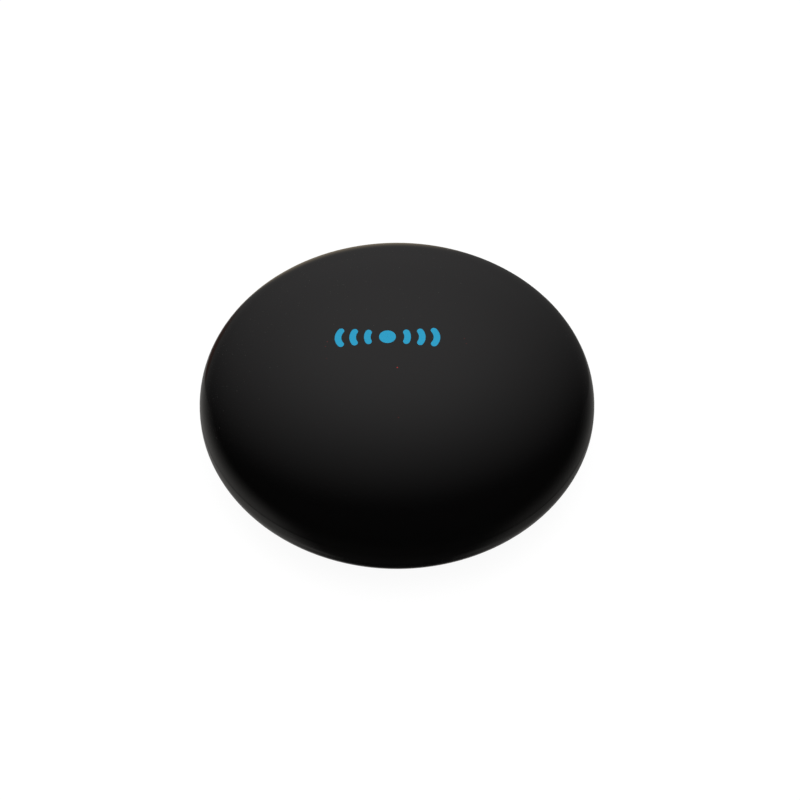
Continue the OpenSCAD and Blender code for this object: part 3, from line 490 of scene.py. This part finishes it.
def board_laminate(name, mask, track):
    made, tree, shader = finish(name, mask)
    fields = tree.nodes.new("ShaderNodeTexVoronoi")
    fields.distance = "CHEBYCHEV"
    fields.inputs["Scale"].default_value = 1.0 / track_field
    fields.inputs["Randomness"].default_value = track_scatter
    vias = tree.nodes.new("ShaderNodeTexVoronoi")
    vias.inputs["Scale"].default_value = 1.0 / via_spacing
    flat = vectors(tree, "MULTIPLY", where(tree), (1.0, 1.0, 0.0))
    for pattern in (fields, vias):
        tree.links.new(flat, pattern.inputs["Vector"])
    turns = number(tree, "FRACT", product(tree, fields.outputs["Distance"], track_count))
    lines = number(tree, "LESS_THAN", turns, track_share)
    pads = number(tree, "LESS_THAN", vias.outputs["Distance"], via_size)
    copper = tint(tree, lines, mask, track)
    tree.links.new(tint(tree, pads, copper, via_copper), shader.inputs["Base Color"])
    tree.links.new(product(tree, pads, via_metallic), shader.inputs["Metallic"])
    rough = between(tree, cloudy(tree, mask_mottle), *mask_roughness)
    tree.links.new(rough, shader.inputs["Roughness"])
    relief(tree, shader, lines, track_height)
    return made


dress(board_laminate("board_laminate", mask_green, track_green), "main_board")


# Power socket: a folded steel shell under the board's rear edge, black tongue and gilt springs.
# The shell is pressed from sheet and nickel-plated, so faint drawing lines run along it.
sheet_steel = (0.62, 0.62, 0.63)
steel_roughness = 0.28
gilt = (0.83, 0.62, 0.25)
gilt_roughness = 0.25
tin_plate = (0.68, 0.68, 0.69)
tin_roughness = 0.32
moulded_black = (0.018, 0.018, 0.02)
black_roughness = 0.45
black_grain = (0.0004, 8e-6)
drawn_line = 0.0012
drawn_stretch = 0.08
drawn_detail = 3.0
drawn_depth = 2e-6
plate_spread = (0.7, 1.5)
plate_patch = 0.002
plate_worn = 0.82
grain_detail = 4.0
grain_spread = (0.8, 1.2)
grain_patch = 12.0
grain_pale = 1.35


def plated(name, colour, roughness, drawn_axis):
    """Plated metal with fine lines drawn along one direction."""
    made, tree, shader = finish(name, colour, metallic=1.0)
    stretch = tuple(drawn_stretch if axis == drawn_axis else 1.0 for axis in "xyz")
    lines = cloudy(tree, drawn_line, drawn_detail, stretch)
    rough = between(tree, lines, *(roughness * share for share in plate_spread))
    tree.links.new(rough, shader.inputs["Roughness"])
    worn = tuple(channel * plate_worn for channel in colour)
    tree.links.new(tint(tree, cloudy(tree, plate_patch), colour, worn), shader.inputs["Base Color"])
    relief(tree, shader, lines, drawn_depth)
    return made


def moulded(name, colour, roughness, grain_size, grain_depth):
    """Moulded plastic or rubber with the fine grain of its tool."""
    made, tree, shader = finish(name, colour)
    grain = cloudy(tree, grain_size, grain_detail)
    rough = between(tree, grain, *(min(1.0, roughness * share) for share in grain_spread))
    tree.links.new(rough, shader.inputs["Roughness"])
    pale = tuple(channel * grain_pale for channel in colour)
    patches = cloudy(tree, grain_size * grain_patch)
    tree.links.new(tint(tree, patches, colour, pale), shader.inputs["Base Color"])
    relief(tree, shader, grain, grain_depth)
    return made


black_plastic = moulded("switch_plastic", moulded_black, black_roughness, *black_grain)
tinned = plated("tinned_metal", tin_plate, tin_roughness, "z")
dress(plated("socket_steel", sheet_steel, steel_roughness, "y"), "usb_shell")
dress(black_plastic, "usb_tongue")
dress(plated("gold_plate", gilt, gilt_roughness, "y"), "usb_contacts")


# Reset button and tactile switch: a satin dark grey cap in the casing's guide pushes a side switch.
# The switch is a black moulded body with a tinned front plate. Its off-white plunger moves with
# the cap.
cap_grey = (0.045, 0.045, 0.047)
cap_roughness = 0.38
cap_grain = (0.00025, 6e-6)
plunger_white = (0.72, 0.7, 0.64)
plunger_roughness = 0.5
plunger_grain = (0.0004, 6e-6)
dress(moulded("button_plastic", cap_grey, cap_roughness, *cap_grain), "reset_button")
plunger = moulded("switch_plunger_plastic", plunger_white, plunger_roughness, *plunger_grain)
dress(plunger, "switch_plunger")
dress(black_plastic, "switch_body")
dress(tinned, "switch_plate", "switch_pins")


# Wireless module: a small blue board soldered on by its edges, with a radio chip under a tin can.
# The bare copper line of its antenna runs to and fro across the free end.
module_blue = (0.008, 0.035, 0.09)
module_track = (0.02, 0.08, 0.17)
epoxy_black = (0.02, 0.02, 0.022)
epoxy_roughness = 0.55
epoxy_grain = (0.00015, 5e-6)
bright_copper = (0.72, 0.38, 0.2)
copper_roughness = 0.35
chip_epoxy = moulded("chip_epoxy", epoxy_black, epoxy_roughness, *epoxy_grain)
dress(board_laminate("module_laminate", module_blue, module_track), "wifi_board")
dress(chip_epoxy, "wifi_chip")
dress(tinned, "wifi_shield")
dress(plated("copper_trace", bright_copper, copper_roughness, "x"), "wifi_antenna")


# Infrared LEDs: eight lie in a ring and one stands upright, cast in clear epoxy with a violet tint.
# Their tinned legs are cropped and bent by hand before soldering.
lens_violet = (0.74, 0.66, 0.86)
lens_clearness = 0.85
lens_ior = 1.54
lens_roughness = (0.03, 0.08)
lens_patch = 0.002
lens_ripple = 0.0015
lens_relief = 1e-6


def cast_epoxy(name, colour, clearness):
    made, tree, shader = finish(name, colour)
    shader.inputs["Transmission Weight"].default_value = clearness
    shader.inputs["IOR"].default_value = lens_ior
    rough = between(tree, cloudy(tree, lens_patch), *lens_roughness)
    tree.links.new(rough, shader.inputs["Roughness"])
    relief(tree, shader, cloudy(tree, lens_ripple), lens_relief)
    return made


led_epoxy = cast_epoxy("led_epoxy", lens_violet, lens_clearness)
dress(led_epoxy, "top_ir_led", *(name for name in nodes if name.startswith("ir_led_")))
dress(tinned, "led_leads")


# Receiver and status LED: the receiver is a block of near-black epoxy with a round lens in front.
# The status LED is a chip of clear resin on a white base, soldered flat.
receiver_plum = (0.02, 0.008, 0.012)
receiver_clearness = 0.0
status_cream = (0.8, 0.77, 0.6)
status_clearness = 0.3
dress(cast_epoxy("receiver_epoxy", receiver_plum, receiver_clearness), "ir_receiver")
dress(cast_epoxy("status_lens", status_cream, status_clearness), "status_led")
dress(tinned, "receiver_leads")


# Chips: the infrared controller, the regulator, two driver transistors and the protection diode.
# All are black epoxy blocks on pressed and tinned legs.
dress(chip_epoxy, "ir_controller", "voltage_regulator", "driver_transistors", "protection_diode")
dress(tinned, "controller_pins", "regulator_leads", "transistor_leads")


# Passive parts: an aluminium can on a black base, eight chip resistors and four chip capacitors.
# The can is drawn from bare sheet, the chips are fired ceramic, and all are soldered flat.
bare_aluminium = (0.74, 0.74, 0.75)
can_roughness = 0.3
fired_tan = (0.42, 0.27, 0.14)
ceramic_roughness = 0.5
ceramic_grain = (0.0002, 4e-6)
dress(plated("capacitor_can", bare_aluminium, can_roughness, "z"), "bulk_capacitor")
dress(black_plastic, "capacitor_base")
dress(chip_epoxy, "chip_resistors")
dress(moulded("ceramic_tan", fired_tan, ceramic_roughness, *ceramic_grain), "chip_capacitors")


# Screws: zinc-plated steel with cross recesses, with headed blanks and rolled threads.
# Four hold the board down, and four under the foot ring draw the covers together.
screw_zinc = (0.55, 0.55, 0.56)
screw_roughness = 0.3
dress(plated("screw_steel", screw_zinc, screw_roughness, "z"), "board_screws", "case_screws")


# Top cover: the dome, in infrared-pass plastic polished as the base cover is.
# It plugs over the lip of the base and is drawn down by the four case screws.
dress(casing_gloss, "top_cover")


# Signal mark: a dot between arcs, pad-printed in matt cyan ink behind the middle of the dome.
# The ink lies about a hundredth of a millimetre thick on the gloss and follows the dome's curve.
mark_centre = Vector((-0.0026, 0.0047))
dot_radius = 0.0023
dot_rings = (0.02, 0.5, 1.0)
# An arc's reach to either side, and half the angle that it spans.
arcs = ((0.0055, 24.0), (0.0095, 30.0), (0.0135, 36.0))
arc_radius = 0.0042
arc_stroke = 0.0018
arc_tip = 0.02
arc_steps = 28
end_steps = 6
ink_thickness = 0.000012
ink_sunk = 0.00006
ink_cyan = (0.0085, 0.231, 0.389)
ink_worn = 0.9
ink_roughness = (0.38, 0.55)
ink_grain = 0.00025
ink_relief = 2e-6


def print_ink():
    made, tree, shader = finish("print_ink", ink_cyan)
    grain = cloudy(tree, ink_grain, grain_detail)
    thin = tuple(channel * ink_worn for channel in ink_cyan)
    tree.links.new(tint(tree, grain, ink_cyan, thin), shader.inputs["Base Color"])
    tree.links.new(between(tree, grain, *ink_roughness), shader.inputs["Roughness"])
    relief(tree, shader, grain, ink_relief)
    return made


dome = BVHTree.FromObject(nodes["top_cover"], bpy.context.evaluated_depsgraph_get())
above_dome = 2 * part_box("top_cover")[1].z


def on_dome(place):
    """The point on the top cover over a place of the plan."""
    return dome.ray_cast(Vector((place.x, place.y, above_dome)), Vector((0.0, 0.0, -1.0)))[0]


def arc_pairs(reach, half_angle, side):
    """Pairs of places on both edges of one arc's stroke, with round ends."""
    half = arc_stroke / 2
    middle = mark_centre + Vector((side * (reach - arc_radius), 0.0))
    pairs = []
    for i in range(-end_steps, arc_steps + end_steps + 1):
        share = min(max(i / arc_steps, 0.0), 1.0)
        past = max(-i, i - arc_steps, 0) / end_steps * math.pi / 2
        turn = (2.0 * share - 1.0) * math.radians(half_angle)
        turn += math.copysign(math.sin(past) * half / arc_radius, i - arc_steps / 2)
        wide = half * max(math.cos(past), arc_tip)
        out = Vector((side * math.cos(turn), math.sin(turn)))
        pairs.append([middle + out * (arc_radius + edge * wide) for edge in (-1.0, 1.0)])
    return pairs


def dot_spokes():
    """Places on spokes from the middle of the dot to its edge."""
    spokes = []
    for i in range(2 * arc_steps):
        turn = math.pi * i / arc_steps
        out = Vector((math.cos(turn), math.sin(turn)))
        spokes.append([mark_centre + out * dot_radius * share for share in dot_rings])
    return spokes


def ink_layer(body, rows, lift):
    """Corners over each place of the rows, lifted off the dome."""
    lifted = Vector((0.0, 0.0, lift))
    return [[body.verts.new(on_dome(place) + lifted) for place in row] for row in rows]


def ink_shape(body, rows, closed=False):
    """Lays a strip of ink between rows of places, with its sides going down into the gloss."""
    top = ink_layer(body, rows, ink_thickness)
    low = ink_layer(body, rows, -ink_sunk)
    count = len(rows)
    across = range(len(rows[0]) - 1)
    for i in range(count if closed else count - 1):
        j = (i + 1) % count
        for k in across:
            body.faces.new((top[i][k], top[j][k], top[j][k + 1], top[i][k + 1]))
            body.faces.new((low[i][k], low[i][k + 1], low[j][k + 1], low[j][k]))
        body.faces.new((top[i][0], low[i][0], low[j][0], top[j][0]))
        body.faces.new((top[i][-1], top[j][-1], low[j][-1], low[i][-1]))
    if not closed:
        for end in (0, -1):
            for k in across:
                body.faces.new((top[end][k], top[end][k + 1], low[end][k + 1], low[end][k]))


def signal_mark():
    body = bmesh.new()
    for side in (-1.0, 1.0):
        for reach, half_angle in arcs:
            ink_shape(body, arc_pairs(reach, half_angle, side))
    ink_shape(body, dot_spokes(), closed=True)
    bmesh.ops.recalc_face_normals(body, faces=body.faces)
    mesh = bpy.data.meshes.new("signal_mark")
    body.to_mesh(mesh)
    body.free()
    mesh.materials.append(print_ink())
    made = bpy.data.objects.new("signal_mark", mesh)
    bpy.context.collection.objects.link(made)
    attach(made, "blaster")


signal_mark()


# Foot ring: matt dark silicone, moulded as a flat band with rounded edges. It is glued into its
# groove in the base, keeps the blaster from sliding and hides the heads of the case screws.
silicone_grey = (0.035, 0.035, 0.038)
silicone_roughness = 0.75
silicone_grain = (0.0003, 1.2e-5)
dress(moulded("silicone", silicone_grey, silicone_roughness, *silicone_grain), "foot_ring")
